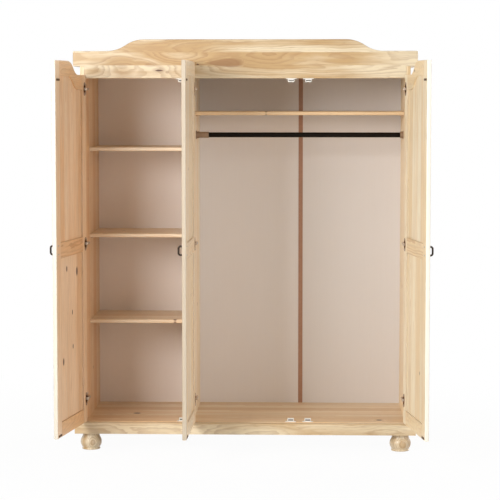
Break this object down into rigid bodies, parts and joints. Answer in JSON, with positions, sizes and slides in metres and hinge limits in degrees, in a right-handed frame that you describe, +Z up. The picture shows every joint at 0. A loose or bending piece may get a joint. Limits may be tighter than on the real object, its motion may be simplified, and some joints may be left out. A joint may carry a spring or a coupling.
{
  "type": "wardrobe with doors",
  "caption": "Freestanding pine wardrobe on bun feet: ogee cornice board, framed panel doors on concealed hinges, shelf bay and hanging bay with hat shelf and rail.",
  "frame": {"origin": "floor level, centre of the footprint with the doors open as in the picture", "axes": "+Z up, +X to the right seen from the front, +Y to the back; the doors face -Y"},
  "size_m": [1.5836, 1.0343, 1.794],
  "materials": {
    "pine": "clear satin lacquer on solid pine boards",
    "door_pine": "clear satin lacquer on solid pine frame and panels",
    "turned_pine": "clear satin lacquer on turned pine",
    "hardboard": "pale beige coated hardboard, matt",
    "brown_strip": "brown extruded joining strip",
    "black_rail": "black coated steel tube",
    "socket_plastic": "brown moulded plastic",
    "white_plastic": "white moulded plastic",
    "hinge_steel": "nickel plated pressed steel",
    "dark_steel": "dark oiled steel",
    "dark_iron": "dark patinated iron"
  },
  "bodies": {
    "carcass": {"left_side_panel": "pine", "right_side_panel": "pine", "centre_partition": "pine", "bottom_panel": "pine", "top_panel": "pine", "cornice_board": "pine", "plinth_front_rail": "pine", "plinth_left_rail": "pine", "plinth_right_rail": "pine", "plinth_back_rail": "pine", "foot_blocks": "pine", "lower_shelf": "pine", "middle_shelf": "pine", "upper_shelf": "pine", "hat_shelf": "pine", "front_left_foot": "turned_pine", "front_right_foot": "turned_pine", "rear_left_foot": "turned_pine", "rear_right_foot": "turned_pine", "back_panel_left": "hardboard", "back_panel_middle": "hardboard", "back_panel_right": "hardboard", "back_joining_strip": "brown_strip", "shelf_pins": "hinge_steel", "clothes_rail": "black_rail", "rail_sockets": "socket_plastic", "magnet_catches": "white_plastic", "catch_magnets": "dark_steel", "hinge_plates": "hinge_steel", "hinge_arms": "hinge_steel"},
    "left_door": {"left_door_hinge_stile": "door_pine", "left_door_free_stile": "door_pine", "left_door_top_rail": "door_pine", "left_door_mid_rail": "door_pine", "left_door_bottom_rail": "door_pine", "left_door_upper_panel": "door_pine", "left_door_lower_panel": "door_pine", "left_door_handle": "dark_iron", "left_door_hinge_cups": "hinge_steel", "left_door_strike_plates": "dark_steel"},
    "middle_door": {"middle_door_hinge_stile": "door_pine", "middle_door_free_stile": "door_pine", "middle_door_top_rail": "door_pine", "middle_door_mid_rail": "door_pine", "middle_door_bottom_rail": "door_pine", "middle_door_upper_panel": "door_pine", "middle_door_lower_panel": "door_pine", "middle_door_handle": "dark_iron", "middle_door_hinge_cups": "hinge_steel", "middle_door_strike_plates": "dark_steel"},
    "right_door": {"right_door_hinge_stile": "door_pine", "right_door_free_stile": "door_pine", "right_door_top_rail": "door_pine", "right_door_mid_rail": "door_pine", "right_door_bottom_rail": "door_pine", "right_door_upper_panel": "door_pine", "right_door_lower_panel": "door_pine", "right_door_handle": "dark_iron", "right_door_hinge_cups": "hinge_steel", "right_door_strike_plates": "dark_steel"}
  },
  "joints": [
    {"name": "left_door_hinge", "type": "hinge", "parent": "carcass", "child": "left_door", "pos_m": [-0.7, -0.05587, 0.91], "axis": [0, 0, -1], "range_deg": [-98.5, 6.5]},
    {"name": "middle_door_hinge", "type": "hinge", "parent": "carcass", "child": "middle_door", "pos_m": [-0.22567, -0.05587, 0.91], "axis": [0, 0, -1], "range_deg": [-91, 5]},
    {"name": "right_door_hinge", "type": "hinge", "parent": "carcass", "child": "right_door", "pos_m": [0.7, -0.05587, 0.91], "axis": [0, 0, 1], "range_deg": [-98.5, 6.5]}
  ]
}
